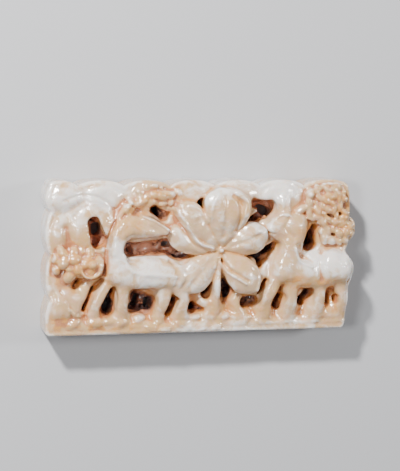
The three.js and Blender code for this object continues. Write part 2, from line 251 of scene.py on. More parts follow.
def ovalDistance(parts, sizes, fullness=2.0):  # distance to an oval body; above 2 it grows squarer
    rows = [np.abs(p) for p in parts]
    reach = sum(r ** fullness for r in rows) ** (1 / fullness)
    slope = np.sqrt(sum((r ** (fullness - 1) / size) ** 2 for r, size in zip(rows, sizes)))
    return (reach - 1) * reach ** (fullness - 1) / np.maximum(slope, 1e-6)


def addLimb(run, top, blend=0.5, fullness=2.0):  # an oval bar laid along a run of [x, y, half width]
    foot = plaque["foot"]
    run = smoothRun([[*p[:3], p[3] if len(p) > 3 else top] for p in run])
    spans, x, y = stone.near(*runBox(run, run[:, 2].max() + 2))
    apart, carried = alongRun(x, y, run, scaled=True)
    half = np.maximum(carried[..., 0], 0.1)[..., None]
    rise = ((carried[..., 1] - foot) / 2)[..., None]
    parts = apart[..., None] / half, (stone.z - foot - rise) / rise
    stone.join(spans, ovalDistance(parts, (half, rise), fullness), blend)


def addDome(x0, y0, long, wide, top, turn=0, blend=0.5):  # an oval boss turned in plan
    foot = plaque["foot"]
    most = max(long, wide) + 2
    spans, x, y = stone.near((x0 - most, y0 - most), (x0 + most, y0 + most))
    c, s = math.cos(math.radians(turn)), math.sin(math.radians(turn))
    rise = (top - foot) / 2
    parts = (
        (((x - x0) * c + (y - y0) * s) / long)[..., None],
        (((y - y0) * c - (x - x0) * s) / wide)[..., None],
        (stone.z - foot - rise) / rise,
    )
    stone.join(spans, ovalDistance(parts, (long, wide, rise)), blend)


def engrave(run, width, depth, above=9.0):  # a line worn into the stone from above; a negative depth raises it
    run = smoothRun([[*p[:2], 1.0] for p in run])
    spans, x, y = stone.near(*runBox(run, 3 * width))
    apart, _ = alongRun(x, y, run)
    worn = depth * np.exp(-(apart / width) ** 2)[..., None] * ease(above - 1, above, stone.z)
    stone.dist[spans] += worn.astype(np.float32)


# The block with its scalloped edge

edge = {
    "topNotches": {"count": 6, "first": 8.6, "pitch": 12.93, "depth": 1.5},
    "leftNotches": {"count": 3, "first": 10.3, "pitch": 12.0, "depth": 1.35},
    # each stretch of the right edge ends at a point and swells outwards by its last number
    "right": [
        [86.3, 1.4, 0.3], [87.0, 12.0, -0.25], [85.9, 22.1, 1.7], [87.0, 25.2, 0.1],
        [87.2, 32.3, 1.95], [86.7, 39.9, 0.25], [84.2, plaque["width"] - 0.4, 0.7],
    ],
    "upperLeft": [[1.7, plaque["width"] - 0.4], [1.0, plaque["width"] - 1.8]],
    "cornerSwells": {"above": 0.6, "upperLeft": 0.3, "below": 0.5},  # above and below as shares of a notch
    "corner": 0.8, "lowerRight": 85.2,
    "handles": (0.22, 0.78),  # places of a stretch's handles along it
    "pointsOnStretch": 16,
}


def plaqueOutline():
    top, left, swells = edge["topNotches"], edge["leftNotches"], edge["cornerSwells"]
    points = [np.array([edge["corner"], 0.0]), np.array([edge["lowerRight"], 0.0])]

    def swellTo(x, y, swell):
        start, end = points[-1], np.array([x, y])
        way = end - start
        out = np.array([way[1], -way[0]]) / np.hypot(*way) * swell / 0.75  # a cubic's middle moves 3/4 as far
        first, second = edge["handles"]
        handles = start, start + first * way + out, start + second * way + out, end
        for t in np.arange(1, edge["pointsOnStretch"] + 1) / edge["pointsOnStretch"]:
            weights = (1 - t) ** 3, 3 * t * (1 - t) ** 2, 3 * t * t * (1 - t), t ** 3
            points.append(sum(w * h for w, h in zip(weights, handles)))

    for x, y, swell in edge["right"]:
        swellTo(x, y, swell)
    notchY = plaque["width"] - top["depth"]
    for i in reversed(range(top["count"])):
        swellTo(top["first"] + i * top["pitch"], notchY, plaque["width"] - (points[-1][1] + notchY) / 2)
    swellTo(*edge["upperLeft"][0], top["depth"] * swells["above"])
    swellTo(*edge["upperLeft"][1], swells["upperLeft"])
    for i in reversed(range(left["count"])):
        swellTo(left["depth"], left["first"] + i * left["pitch"], (points[-1][0] + left["depth"]) / 2)
    swellTo(0, edge["corner"], left["depth"] * swells["below"])
    return np.clip(np.array(points), 0, [plaque["length"], plaque["width"]])


def insideOutline(stone):  # distance to the outline in plan, negative inside it
    ring = plaqueOutline()
    closed = np.vstack([ring, ring[:1]])
    x, y = stone.x[:, None], stone.y[None, :]
    apart, _ = alongRun(x, y, np.hstack([closed, np.ones((len(closed), 1))]))
    crossings = np.zeros(apart.shape, bool)
    for (x1, y1), (x2, y2) in zip(closed, closed[1:]):
        if y1 != y2:
            crossings ^= ((y1 > y) != (y2 > y)) & (x < (x2 - x1) * (y - y1) / (y2 - y1) + x1)
    return np.where(crossings, -apart, apart)


def startStone():
    size = plaque["length"], plaque["width"], plaque["thickness"]
    stone = Stone(size, plaque["step"], plaque["margin"])
    stone.outline = insideOutline(stone)
    rim = stone.outline[..., None] + plaque["wallInset"]
    block = softMax(rim, stone.z - plaque["field"], plaque["rim"])
    stone.dist[:] = softMax(block, -stone.z, plaque["backEdge"])
    return stone


stone = startStone()
print("block shaped", stone.dist.shape)


# Soft hollows beside the legs, cut before the legs stand in front of them

hollows = {
    "treeBed": {"width": 4.4, "depth": 0.5, "run": [[79.0, 39.5], [81.5, 31.0]]},  # below the tree's leaves
    "above": 8.5,  # worn in full from this height up, and less just below it
    "width": 1.7, "depth": 1.7,
    "runs": [
        [[14.2, 13.5], [11.5, 5.2]], [[18.4, 13.0], [16.6, 5.4]], [[25.5, 11.5], [25.0, 5.0]],
        [[29.3, 11.5], [29.0, 5.0]], [[36.0, 11.5], [34.2, 4.6]], [[41.6, 10.5], [42.6, 4.8]],
        [[50.6, 12.0], [51.6, 5.6]], [[57.0, 10.5], [58.6, 5.2]], [[66.6, 12.0], [65.4, 5.0]],
        [[75.4, 11.8], [73.2, 4.8]], [[81.0, 10.8], [80.8, 8.0]], [[9.0, 15.0], [7.6, 12.6]],
    ],
}


def cutHollows():
    for run in hollows["runs"]:
        engrave(run, hollows["width"], hollows["depth"], hollows["above"])
    bed = hollows["treeBed"]
    engrave(bed["run"], bed["width"], bed["depth"], hollows["above"])


cutHollows()


# Smooth lobes along the upper border and the round leaves at the left

border = {
    "lobe": {"below": 4.6, "long": 0.6, "wide": 5.6, "top": 12.7, "firstX": 5.4},
    "roundLeaf": {"x": 12.4, "y": 29.8, "long": 9.4, "wide": 9.0, "top": 13.5},
    "leftLeaf": {"x": 4.6, "y": 28.5, "long": 5.0, "wide": 6.4, "top": 12.6},
    "lowerLeaf": {"x": 5.4, "y": 8.6, "long": 6.4, "wide": 6.4, "top": 12.7},
    "blend": 0.3,
}


def addBorder():
    lobe, top = border["lobe"], edge["topNotches"]
    for i in range(top["count"] + 1):
        x = max(top["first"] + (i - 0.5) * top["pitch"], lobe["firstX"])
        y = plaque["width"] - lobe["below"]
        addDome(x, y, lobe["long"] * top["pitch"], lobe["wide"], lobe["top"], blend=border["blend"])
    for name in ("roundLeaf", "leftLeaf", "lowerLeaf"):
        leaf = border[name]
        addDome(leaf["x"], leaf["y"], leaf["long"], leaf["wide"], leaf["top"], blend=border["blend"])


addBorder()
print("border shaped")


# Deer: runs of [x, y, half width] with the height of their ridge

leftDeer = {
    "body": {"run": [[19.6, 17.4, 3.6], [24.5, 16.8, 4.3], [31.0, 16.8, 4.3], [36.2, 16.0, 4.0]], "top": 14.7},
    "neck": {"run": [[20.6, 17.5, 3.3], [19.7, 22.5, 2.6], [20.0, 26.5, 2.4], [22.0, 30.0, 2.7]], "top": 15.0},
    "head": {"run": [[23.2, 30.2, 3.7], [28.2, 29.7, 2.9], [32.6, 28.4, 1.5]], "top": 15.3},
    "ear": {"run": [[18.3, 28.2, 1.0], [20.2, 32.6, 1.3], [23.0, 36.4, 1.2]], "top": 14.4},
    "earTip": {"run": [[21.8, 33.2, 0.9], [24.6, 36.0, 1.2], [27.0, 37.2, 1.1]], "top": 13.6},
    "foreLeg": {"run": [[17.6, 15.2, 2.2], [15.0, 10.5, 1.8], [13.2, 5.2, 1.8]], "top": 12.7},
    "nearForeLeg": {"run": [[21.2, 14.4, 2.4], [21.3, 9.5, 1.9], [21.1, 4.4, 2.0]], "top": 13.3},
    "hindLeg": {"run": [[33.4, 14.0, 2.3], [32.9, 9.5, 1.9], [31.8, 4.2, 1.9]], "top": 13.0},
    "nearHindLeg": {"run": [[37.0, 14.0, 2.6], [38.4, 9.5, 2.2], [37.8, 3.8, 2.2]], "top": 13.3},
}
rightDeer = {
    "body": {"run": [[68.0, 17.4, 4.6], [73.5, 16.3, 4.7], [79.0, 16.5, 5.0], [83.4, 16.9, 4.6]], "top": 14.8},
    "rump": {"run": [[81.6, 18.4, 4.6], [83.6, 18.0, 4.4]], "top": 15.7},
    "neck": {"run": [[68.4, 18.5, 4.3], [69.2, 23.5, 3.8], [70.2, 28.0, 3.7]], "top": 14.9},
    "head": {"run": [[70.6, 30.0, 4.0], [67.0, 29.8, 3.9], [63.8, 29.2, 2.3]], "top": 14.5},
    "cheek": {"run": [[67.0, 27.6, 3.4], [70.6, 26.4, 3.6]], "top": 13.9},
    "ear": {"run": [[67.4, 33.2, 2.2], [67.3, 37.4, 1.7]], "top": 13.6},
    "foreLeg": {"run": [[64.6, 13.5, 2.3], [62.7, 9.5, 2.0], [62.0, 3.4, 1.9]], "top": 13.4},
    "nearForeLeg": {"run": [[69.6, 13.5, 2.4], [69.8, 9.0, 2.0], [69.2, 3.8, 2.0]], "top": 13.7},
    "hindLeg": {"run": [[77.6, 13.5, 2.4], [78.4, 9.0, 1.9], [77.4, 3.6, 1.9]], "top": 13.4},
    "nearHindLeg": {"run": [[84.2, 13.0, 2.4], [85.0, 8.5, 1.9], [84.8, 3.4, 2.0]], "top": 13.6},
}
deerJoins = {
    "hoofTop": 11.9,  # the legs sink into the ground here
    "legBlend": 1.0, "legFullness": 3.2, "bodyBlend": 1.3, "bodyFullness": 2.5,
}


def addDeer():
    for deer in (leftDeer, rightDeer):
        for name, limb in deer.items():
            if "Leg" in name:
                hoof = [*limb["run"][-1], deerJoins["hoofTop"]]
                run = [*limb["run"][:-1], hoof]
                addLimb(run, limb["top"], deerJoins["legBlend"], deerJoins["legFullness"])
            else:
                addLimb(limb["run"], limb["top"], deerJoins["bodyBlend"], deerJoins["bodyFullness"])


addDeer()
print("deer shaped")


# Growths, tree top and rocks: lumps strewn over oval patches, made by one node group and merged into the stone

growths = {
    "cluster": {
        "at": (7.8, 20.2, 12.2), "Length": 12.0, "Width": 7.0, "Spacing": 2.1, "Crown": 0.8, "Radius": 1.5,
        "Stretch": 1.25, "Turn": 0.0, "Scatter": 3.1, "Seed": 4,
    },
    "foliage": {
        "at": (31.0, 39.0, 11.8), "Length": 11.6, "Width": 5.6, "Spacing": 1.9, "Crown": 0.5, "Radius": 1.25,
        "Stretch": 1.3, "Turn": 0.4, "Scatter": 1.2, "Seed": 7,
    },
    "treeTop": {
        "at": (80.0, 35.4, 12.6), "Length": 11.8, "Width": 13.2, "Spacing": 1.6, "Crown": 0.5, "Radius": 0.9,
        "Stretch": 1.9, "Turn": -0.95, "Scatter": 0.9, "Seed": 9,
    },
    "treeFoot": {
        "at": (82.6, 28.2, 12.0), "Length": 9.4, "Width": 5.6, "Spacing": 1.8, "Crown": 0.6, "Radius": 1.15,
        "Stretch": 1.5, "Turn": -0.6, "Scatter": 1.0, "Seed": 5,
    },
    "rocks": {
        "at": (33.0, 2.6, 10.4), "Length": 58.0, "Width": 3.2, "Spacing": 3.0, "Crown": 0.1, "Radius": 1.5,
        "Stretch": 1.6, "Turn": 0.0, "Scatter": 0.6, "Seed": 2,
    },
}
lumps = {
    "smallest": 0.75, "largest": 1.3,  # of a patch's own radius
    "mostPerArea": 8.0, "patchCorners": 48, "subdivisions": 4,
    "blend": 0.36,  # how softly they run into the stone
    "rimInset": 0.7, "rimBlend": 0.8,  # they end this far inside the rim
    "reach": 8,  # grid steps over which their distances are worked out
}
growthParts = {
    "ball": {"x": 12.4, "y": 19.9, "radius": 1.9, "top": 15.3, "blend": 0.2},
    "curl": {
        "run": [[9.4, 18.0, 0.8], [10.6, 16.7, 1.0], [12.6, 16.4, 1.0], [14.4, 17.6, 1.0], [15.0, 19.8, 0.8]],
        "top": 14.6, "blend": 0.25,
    },
    "ovalKnob": {"x": 74.6, "y": 38.7, "long": 2.1, "wide": 1.6, "turn": 70, "top": 14.4, "blend": 0.25},
    "branch": {"run": [[71.0, 33.6, 1.5], [73.4, 34.9, 1.6], [76.2, 34.4, 1.4]], "top": 13.4, "blend": 0.3},
}


def lumpGroup():
    group = bpy.data.node_groups.new("lumps", "GeometryNodeTree")
    for name in growths["cluster"]:
        if name != "at":
            kind = "NodeSocketInt" if name == "Seed" else "NodeSocketFloat"
            group.interface.new_socket(name, in_out="INPUT", socket_type=kind)
    group.interface.new_socket("Material", in_out="INPUT", socket_type="NodeSocketMaterial")
    group.interface.new_socket("Geometry", in_out="OUTPUT", socket_type="NodeSocketGeometry")
    t = Tree(group)
    given = {s.name: s for s in t.node("NodeGroupInput").outputs}
    size = {name: Number(t, s) for name, s in given.items() if s.type in ("VALUE", "INT")}
    disc = t.node("GeometryNodeMeshCircle", {"fill_type": "NGON"}, {
        "Vertices": lumps["patchCorners"], "Radius": 0.5,
    })
    spread = t.node("ShaderNodeCombineXYZ", None, {"X": size["Length"], "Y": size["Width"], "Z": 1.0})
    patch = t.node("GeometryNodeTransform", None, {"Geometry": disc.outputs[0], "Scale": spread.outputs[0]})
    strewn = t.node(
        "GeometryNodeDistributePointsOnFaces", {"distribute_method": "POISSON"}, {
            "Mesh": patch.outputs[0], "Distance Min": size["Spacing"],
            "Density Max": lumps["mostPerArea"], "Seed": size["Seed"],
        },
    )
    place = t.node("ShaderNodeSeparateXYZ", None, {0: t.node("GeometryNodeInputPosition").outputs[0]})
    acrossPatch = Number(t, place.outputs["X"]) / size["Length"]
    upPatch = Number(t, place.outputs["Y"]) / size["Width"]
    rise = size["Crown"] * (1 - 4 * (acrossPatch * acrossPatch + upPatch * upPatch))
    lift = t.node("ShaderNodeCombineXYZ", None, {"Z": rise})
    crowned = t.node("GeometryNodeSetPosition", None, {
        "Geometry": strewn.outputs["Points"], "Offset": lift.outputs[0],
    })
    ball = t.node("GeometryNodeMeshIcoSphere", None, {
        "Radius": size["Radius"], "Subdivisions": lumps["subdivisions"],
    })
    stretched = t.node("ShaderNodeCombineXYZ", None, {"X": size["Stretch"], "Y": 1.0, "Z": 1.0})
    lump = t.node("GeometryNodeTransform", None, {
        "Geometry": ball.outputs["Mesh"], "Scale": stretched.outputs[0],
    })
    swing = t.node(
        "FunctionNodeRandomValue", {"data_type": "FLOAT"},
        {2: size["Turn"] - size["Scatter"], 3: size["Turn"] + size["Scatter"], "Seed": size["Seed"]},
    )
    turned = t.node("ShaderNodeCombineXYZ", None, {"Z": swing.outputs[1]})
    sized = t.node(
        "FunctionNodeRandomValue", {"data_type": "FLOAT"},
        {2: lumps["smallest"], 3: lumps["largest"], "Seed": size["Seed"] + 1},
    )
    placed = t.node("GeometryNodeInstanceOnPoints", None, {
        "Points": crowned.outputs[0], "Instance": lump.outputs[0],
        "Rotation": turned.outputs[0], "Scale": sized.outputs[1],
    })
    real = t.node("GeometryNodeRealizeInstances", None, {"Geometry": placed.outputs[0]})
    done = t.node("GeometryNodeSetMaterial", None, {"Geometry": real.outputs[0], "Material": given["Material"]})
    t.node("NodeGroupOutput", None, {"Geometry": done.outputs[0]})
    return group


def growLumps(group, growth, material):  # a mesh of lumps round the origin, in millimetres
    holder = bpy.data.objects.new("lumps", bpy.data.meshes.new("lumps"))
    bpy.context.scene.collection.objects.link(holder)
    grown = holder.modifiers.new("lumps", "NODES")
    grown.node_group = group
    for item in group.interface.items_tree:
        if item.in_out == "INPUT":
            grown[item.identifier] = material if item.name == "Material" else growth[item.name]
    mesh = bpy.data.meshes.new_from_object(holder.evaluated_get(bpy.context.evaluated_depsgraph_get()))
    bpy.data.objects.remove(holder)
    return mesh


def joinLumps(mesh, shift):  # merges a closed mesh into the stone
    flat = np.zeros(3 * len(mesh.vertices), np.float32)
    mesh.vertices.foreach_get("co", flat)
    points = flat.reshape(-1, 3) + np.array(shift, np.float32) - stone.low
    mesh.calc_loop_triangles()
    corners = np.zeros(3 * len(mesh.loop_triangles), np.int32)
    mesh.loop_triangles.foreach_get("vertices", corners)
    level = openvdb.FloatGrid.createLevelSetFromPolygons(
        points.astype(np.float32), triangles=corners.reshape(-1, 3).astype(np.uint32),
        transform=openvdb.createLinearTransform(voxelSize=stone.step), halfWidth=lumps["reach"],
    )
    values = np.full(stone.dist.shape, lumps["reach"] * stone.step, np.float32)
    level.copyToArray(values)
    values = softMax(values, stone.outline[..., None] + lumps["rimInset"], lumps["rimBlend"])
    stone.dist = softMin(stone.dist, values, lumps["blend"])


def addGrowths(material):
    group = lumpGroup()
    for name, growth in growths.items():
        mesh = growLumps(group, growth, material)
        print(name, "of", len(mesh.vertices), "points")
        joinLumps(mesh, growth["at"])
        bpy.data.meshes.remove(mesh)
    ball, curl, knob, branch = (growthParts[n] for n in ("ball", "curl", "ovalKnob", "branch"))
    addDome(ball["x"], ball["y"], ball["radius"], ball["radius"], ball["top"], blend=ball["blend"])
    addLimb(curl["run"], curl["top"], curl["blend"])
    addDome(knob["x"], knob["y"], knob["long"], knob["wide"], knob["top"], knob["turn"], knob["blend"])
    addLimb(branch["run"], branch["top"], branch["blend"])


jade, jadeTree = newMaterial("jade")
addGrowths(jade)
print("growths, tree top and rocks shaped")


# Gaps pierced down to the back layer, as runs of drilled holes [x, y, radius], and windows through it

gaps = {
    "leafEye": [[13.0, 31.2, 1.7], [14.5, 26.4, 2.5]],
    "aboveHead": [[30.0, 34.5, 1.5], [32.7, 32.9, 1.6]],
    "behindNeck": [[23.4, 23.7, 2.15], [34.3, 24.0, 2.5], [37.8, 22.1, 2.2], [41.8, 21.6, 0.5]],
    "betweenUpperPetals": [[43.3, 36.5, 1.3], [44.4, 33.3, 0.4]],
    "besideTopPetal": [[58.8, 36.0, 1.5], [62.7, 34.9, 2.3], [61.5, 33.2, 1.9], [56.0, 30.7, 0.5]],
    "belowRightPetal": [[56.4, 21.4, 0.5], [61.6, 21.6, 1.8], [64.7, 24.3, 1.0]],
    "belowRightPetalFoot": [[60.8, 21.0, 2.0], [60.6, 18.4, 0.9]],
    "besideLowerPetal": [[62.3, 14.3, 0.8], [60.4, 10.7, 0.5]],
    "behindRightNeck": [[76.5, 29.3, 0.8], [75.2, 24.7, 2.3]],
    "belowCluster": [[9.1, 15.0, 0.9], [8.1, 13.7, 1.0]],
    "besideStalk": [[15.4, 15.4, 0.6], [13.0, 12.8, 0.75], [10.7, 7.2, 0.8]],
    "foreLegs": [[18.4, 12.3, 0.9], [17.4, 7.3, 2.4]],
    "belowBelly": [[25.2, 10.2, 1.9], [29.1, 9.1, 2.0], [28.3, 7.0, 1.9], [24.6, 7.5, 1.8]],
    "hindLegs": [[36.3, 9.3, 0.9], [34.4, 5.6, 1.1]],
    "rightOfHindLeg": [[41.5, 6.8, 1.8], [44.2, 6.3, 1.0]],
    "leftOfStem": [[46.2, 14.8, 0.8], [45.2, 10.9, 1.9]],
    "rightOfStem": [[50.3, 14.0, 1.2], [51.5, 11.5, 2.0], [50.6, 8.7, 1.1]],
    "leftOfFarLeg": [[56.8, 8.1, 1.7], [59.0, 8.6, 1.5]],
    "farLegs": [[66.7, 9.5, 1.3], [65.9, 7.0, 1.5]],
    "belowFarBelly": [[75.2, 10.3, 1.4], [73.3, 8.2, 1.5]],
    "farHindLegs": [[80.7, 9.7, 0.8], [80.7, 7.9, 0.6]],
    "farHindSlit": [[83.1, 9.2, 0.4], [83.2, 7.8, 0.4]],
}
windows = {
    "leafEye": [[14.7, 29.6, 1.2], [14.8, 28.2, 1.25]],
    "aboveHead": [[31.0, 34.2, 0.9], [31.3, 33.0, 0.8]],
    "behindNeck": [[34.4, 24.3, 0.9], [35.3, 24.2, 0.9]],
    "betweenUpperPetals": [[43.0, 36.5, 0.6], [43.5, 35.6, 0.5]],
    "besideTopPetal": [[61.8, 34.2, 1.1], [64.0, 33.2, 1.3]],
    "besideTopPetalFoot": [[58.2, 31.7, 0.8], [60.0, 31.9, 0.6]],
    "behindRightNeck": [[76.6, 27.4, 0.5], [75.9, 24.9, 1.1]],
    "foreLegs": [[17.7, 8.3, 1.1], [17.9, 6.6, 1.0]],
    "belowBelly": [[25.6, 8.0, 1.0], [26.4, 9.6, 0.9]],
    "belowBellyRight": [[29.4, 7.2, 0.9], [29.5, 8.4, 0.9]],
}
drills = [
    [24.3, 22.9, 1.0], [31.6, 24.8, 0.7], [38.0, 22.9, 0.6],
    [14.2, 25.4, 0.9], [66.2, 6.8, 0.6], [73.4, 8.0, 0.8],
]
piercing = {
    "rimBlend": 1.0, "floorBlend": 1.0,
    "taper": 0.85, "taperFrom": 11.4, "taperTo": 6.0,  # the walls lean in between these heights
    "drillFloor": 3.6, "drillBlend": 0.4,
    "windowFloor": -3.0, "windowCeiling": 9.0, "windowBlend": 0.5,  # windows go right through the back
}


def pierce(run, floor, taper, blend, ceiling=math.inf):  # sinks a gap along a run, no higher than the ceiling
    run = np.array(run, float)
    spans, x, y = stone.near(*runBox(run, run[:, 2].max() + 2.5))
    apart = np.full(np.broadcast(x, y).shape, np.inf)
    for start, end in zip(run, run[1:]):
        way = end[:2] - start[:2]
        t = np.clip(((x - start[0]) * way[0] + (y - start[1]) * way[1]) / max(way @ way, 1e-9), 0, 1)
        here = np.hypot(x - start[0] - t * way[0], y - start[1] - t * way[1])
        apart = np.minimum(apart, here - (start[2] + t * (end[2] - start[2])))
    depth = (piercing["taperFrom"] - stone.z) / (piercing["taperFrom"] - piercing["taperTo"])
    leaned = taper * np.clip(depth, 0, 1)
    hole = softMax(apart[..., None] + leaned, floor - stone.z, piercing["floorBlend"])
    hole = np.maximum(hole, stone.z - ceiling)
    stone.cut(spans, hole, blend)


def pierceGaps():
    for run in gaps.values():
        pierce(run, plaque["backLayer"], piercing["taper"], piercing["rimBlend"])
    for x, y, radius in drills:  # where the drill went deeper
        pierce([[x, y, radius], [x, y, radius]], piercing["drillFloor"], 0, piercing["drillBlend"])


pierceGaps()
print("gaps pierced")


# The flower: petals by the direction of their tip in degrees, reach, half width, crown and fullest place

flower = {
    "x": 48.7, "y": 23.3, "root": 13.2, "foot": 10.4, "edgeDrop": 1.7, "droop": 1.2, "blend": 0.25,
    "opening": 0.9, "closing": 2.4,  # how the width grows from the root and rounds off at the tip
    "climb": 0.7,  # how soon the middle of a petal reaches its crown
    "edgeRound": 0.9, "footRound": 0.8,
    "overlap": 0.5,  # how far a petal runs on behind the middle
    "slope": 0.85,  # share of the plan distance that counts across a petal
    "boss": {"radius": 1.3, "top": 14.8, "blend": 0.7},
    "stem": {
        "run": [[48.5, 21.6, 1.0], [48.1, 17.0, 1.3], [47.9, 12.0, 1.3], [48.0, 6.0, 1.7, 12.0]],
        "top": 13.8, "blend": 0.5,
    },
    "petals": {
        "left": {"turn": 160, "reach": 15.8, "half": 4.3, "crown": 14.5, "fullest": 0.64},
        "lowerLeft": {"turn": 226, "reach": 16.2, "half": 4.5, "crown": 14.5, "fullest": 0.64},
        "upperLeft": {"turn": 133, "reach": 17.8, "half": 3.9, "crown": 16.0, "fullest": 0.72},
        "lowerRight": {"turn": -48, "reach": 15.6, "half": 4.7, "crown": 16.2, "fullest": 0.62},
        "right": {"turn": 21, "reach": 14.2, "half": 4.4, "crown": 16.0, "fullest": 0.62},
        "top": {"turn": 85.5, "reach": 17.8, "half": 6.3, "crown": 17.3, "fullest": 0.66},
    },
}


def addPetal(petal):
    reach, half, fullest = petal["reach"], petal["half"], petal["fullest"]
    c, s = math.cos(math.radians(petal["turn"])), math.sin(math.radians(petal["turn"]))
    ends = np.array([[flower["x"], flower["y"]], [flower["x"] + reach * c, flower["y"] + reach * s]])
    spans, x, y = stone.near(ends.min(0) - half - 2, ends.max(0) + half + 2)
    along = (x - flower["x"]) * c + (y - flower["y"]) * s
    across = (y - flower["y"]) * c - (x - flower["x"]) * s
    t = np.clip(along / reach, 0.0, 1.0)
    past = np.clip((t - fullest) / (1 - fullest), 0, 1)
    opening = np.sin(np.pi / 2 * np.clip(t / fullest, 0.02, 1)) ** flower["opening"]
    halfHere = half * opening * np.sqrt(np.maximum(1 - past ** flower["closing"], 1e-4))
    side = np.clip(np.abs(across) / np.maximum(halfHere, 0.05), 0, 1.3)
    climb = np.sin(np.pi * np.minimum(0.5, flower["climb"] * t))
    ridge = flower["root"] + (petal["crown"] - flower["root"]) * climb
    surface = ridge - flower["edgeDrop"] * opening * side ** 2 - flower["droop"] * past ** 2
    beyond = np.maximum(along - reach, -along - flower["overlap"])
    outline = np.maximum(flower["slope"] * (np.abs(across) - halfHere), beyond)
    slab = softMax(outline[..., None], stone.z - surface[..., None], flower["edgeRound"])
    slab = softMax(slab, flower["foot"] - stone.z, flower["footRound"])
    stone.join(spans, slab, flower["blend"])


def addFlower():
    stem, boss = flower["stem"], flower["boss"]
    addLimb(stem["run"], stem["top"], stem["blend"])
    for petal in flower["petals"].values():
        addPetal(petal)
    addDome(flower["x"], flower["y"], boss["radius"], boss["radius"], boss["top"], blend=boss["blend"])


addFlower()
print("flower shaped")


# Lines on the face: [width, depth, run in plan]; a negative depth stands up as a ridge

faceLines = {
    "petalEdge": [0.5, -0.7, [[35.4, 35.0], [37.1, 32.4], [41.7, 25.9], [46.2, 23.9]]],
    "petalEdgeFoot": [0.7, 0.45, [[34.6, 33.8], [36.0, 31.6], [40.6, 25.4], [45.4, 23.0]]],
    "petalLip": [0.45, -0.35, [[38.9, 36.2], [41.0, 35.6], [42.5, 34.2], [44.3, 31.4]]],
    "topFold": [1.2, -1.1, [[52.6, 39.4], [54.6, 38.3], [55.6, 36.2], [54.9, 33.4]]],
    "topFoldFoot": [0.7, 0.8, [[51.4, 38.6], [53.2, 36.6], [53.6, 33.6], [52.4, 29.0]]],
    "topValley": [0.8, 0.55, [[48.8, 38.2], [49.2, 33.0], [49.0, 27.5]]],
    "topLeftLip": [0.5, -0.35, [[44.8, 33.0], [45.4, 36.6], [47.2, 39.4]]],
    "rightVein": [0.6, 0.35, [[51.6, 24.6], [55.4, 26.0], [59.4, 27.8]]],
    "rightTip": [1.2, -0.35, [[58.6, 29.2], [60.4, 28.6]]],
    "lowerVein": [0.42, 0.6, [[48.9, 20.6], [50.9, 18.0], [53.4, 16.6], [56.0, 14.8]]],
    "lowerVeinLip": [0.4, -0.45, [[48.2, 20.0], [50.2, 17.3], [52.8, 15.7], [55.4, 14.0]]],
    "lowerRightLip": [0.45, -0.35, [[55.4, 20.4], [58.4, 18.6], [59.7, 15.8], [59.0, 12.2]]],
    "lowerLeftVein": [0.7, 0.3, [[46.0, 20.6], [42.6, 16.8], [39.8, 13.2]]],
    "underBoss": [0.5, -0.5, [[47.6, 21.4], [46.9, 18.6]]],
    "muzzle": [0.5, -0.7, [[26.2, 33.2], [29.6, 31.8], [33.4, 29.4]]],
    "muzzleFoot": [0.9, 0.5, [[25.4, 31.2], [29.0, 29.8], [32.8, 27.8]]],
    "backRidge": [
        0.7, -0.4, [[21.4, 21.8], [22.2, 19.5], [24.1, 17.8], [28.0, 17.0], [31.1, 16.8], [35.9, 16.3]],
    ],
    "neckOutside": [0.55, 0.7, [[21.2, 33.6], [18.4, 30.4], [16.9, 26.4], [16.6, 21.4], [16.2, 17.0]]],
    "neckBand": [0.8, -0.3, [[20.6, 31.0], [18.6, 27.6], [18.2, 23.0]]],
    "earLine": [0.35, 0.45, [[21.4, 37.4], [23.4, 35.8], [25.6, 34.6]]],
    "flank": [0.7, 0.35, [[34.4, 20.2], [36.2, 17.4], [35.8, 13.6]]],
    "shoulderLip": [0.45, -0.6, [[69.8, 23.8], [70.4, 21.8], [71.7, 19.8], [74.9, 18.4]]],
    "shoulderFoot": [0.7, 0.6, [[71.0, 24.4], [71.6, 22.2], [72.9, 20.8], [75.4, 19.6]]],
    "haunch": [0.8, 0.5, [[78.6, 21.6], [77.4, 18.6], [78.0, 14.6]]],
    "rumpEdge": [0.4, 0.35, [[86.4, 22.6], [87.2, 18.0], [86.0, 11.6], [85.8, 3.0]]],
    "farCheek": [0.6, 0.35, [[68.9, 33.4], [67.0, 29.8], [69.4, 26.8]]],
    "farBrow": [0.5, -0.45, [[64.6, 32.4], [66.4, 33.2], [68.6, 32.8]]],
    "farEar": [0.5, 0.4, [[67.2, 34.8], [67.4, 38.2]]],
    "farMuzzle": [0.4, 0.4, [[61.8, 28.2], [64.0, 27.8]]],
    "leafArc": [0.45, 0.28, [[4.6, 37.2], [8.6, 38.6], [12.4, 38.6], [16.0, 37.3], [18.8, 34.8]]],
    "leafArcInside": [0.5, 0.18, [[7.4, 33.0], [10.6, 35.6], [14.4, 35.0], [17.0, 32.2]]],
    "leafHollow": [1.4, 0.8, [[5.4, 29.6], [6.4, 24.6]]],
    "lowerLeafLine": [0.5, 0.35, [[4.0, 12.4], [6.6, 8.6], [7.2, 5.0]]],
    "lowerLeafMark": [0.4, -0.4, [[6.6, 7.4], [8.2, 5.6], [9.2, 5.4]]],
    "groundLine": [
        0.5, 0.16, [[2.0, 4.6], [12.0, 4.9], [24.0, 4.2], [40.0, 3.6], [56.0, 3.4], [72.0, 3.0], [85.6, 2.9]],
    ],
}
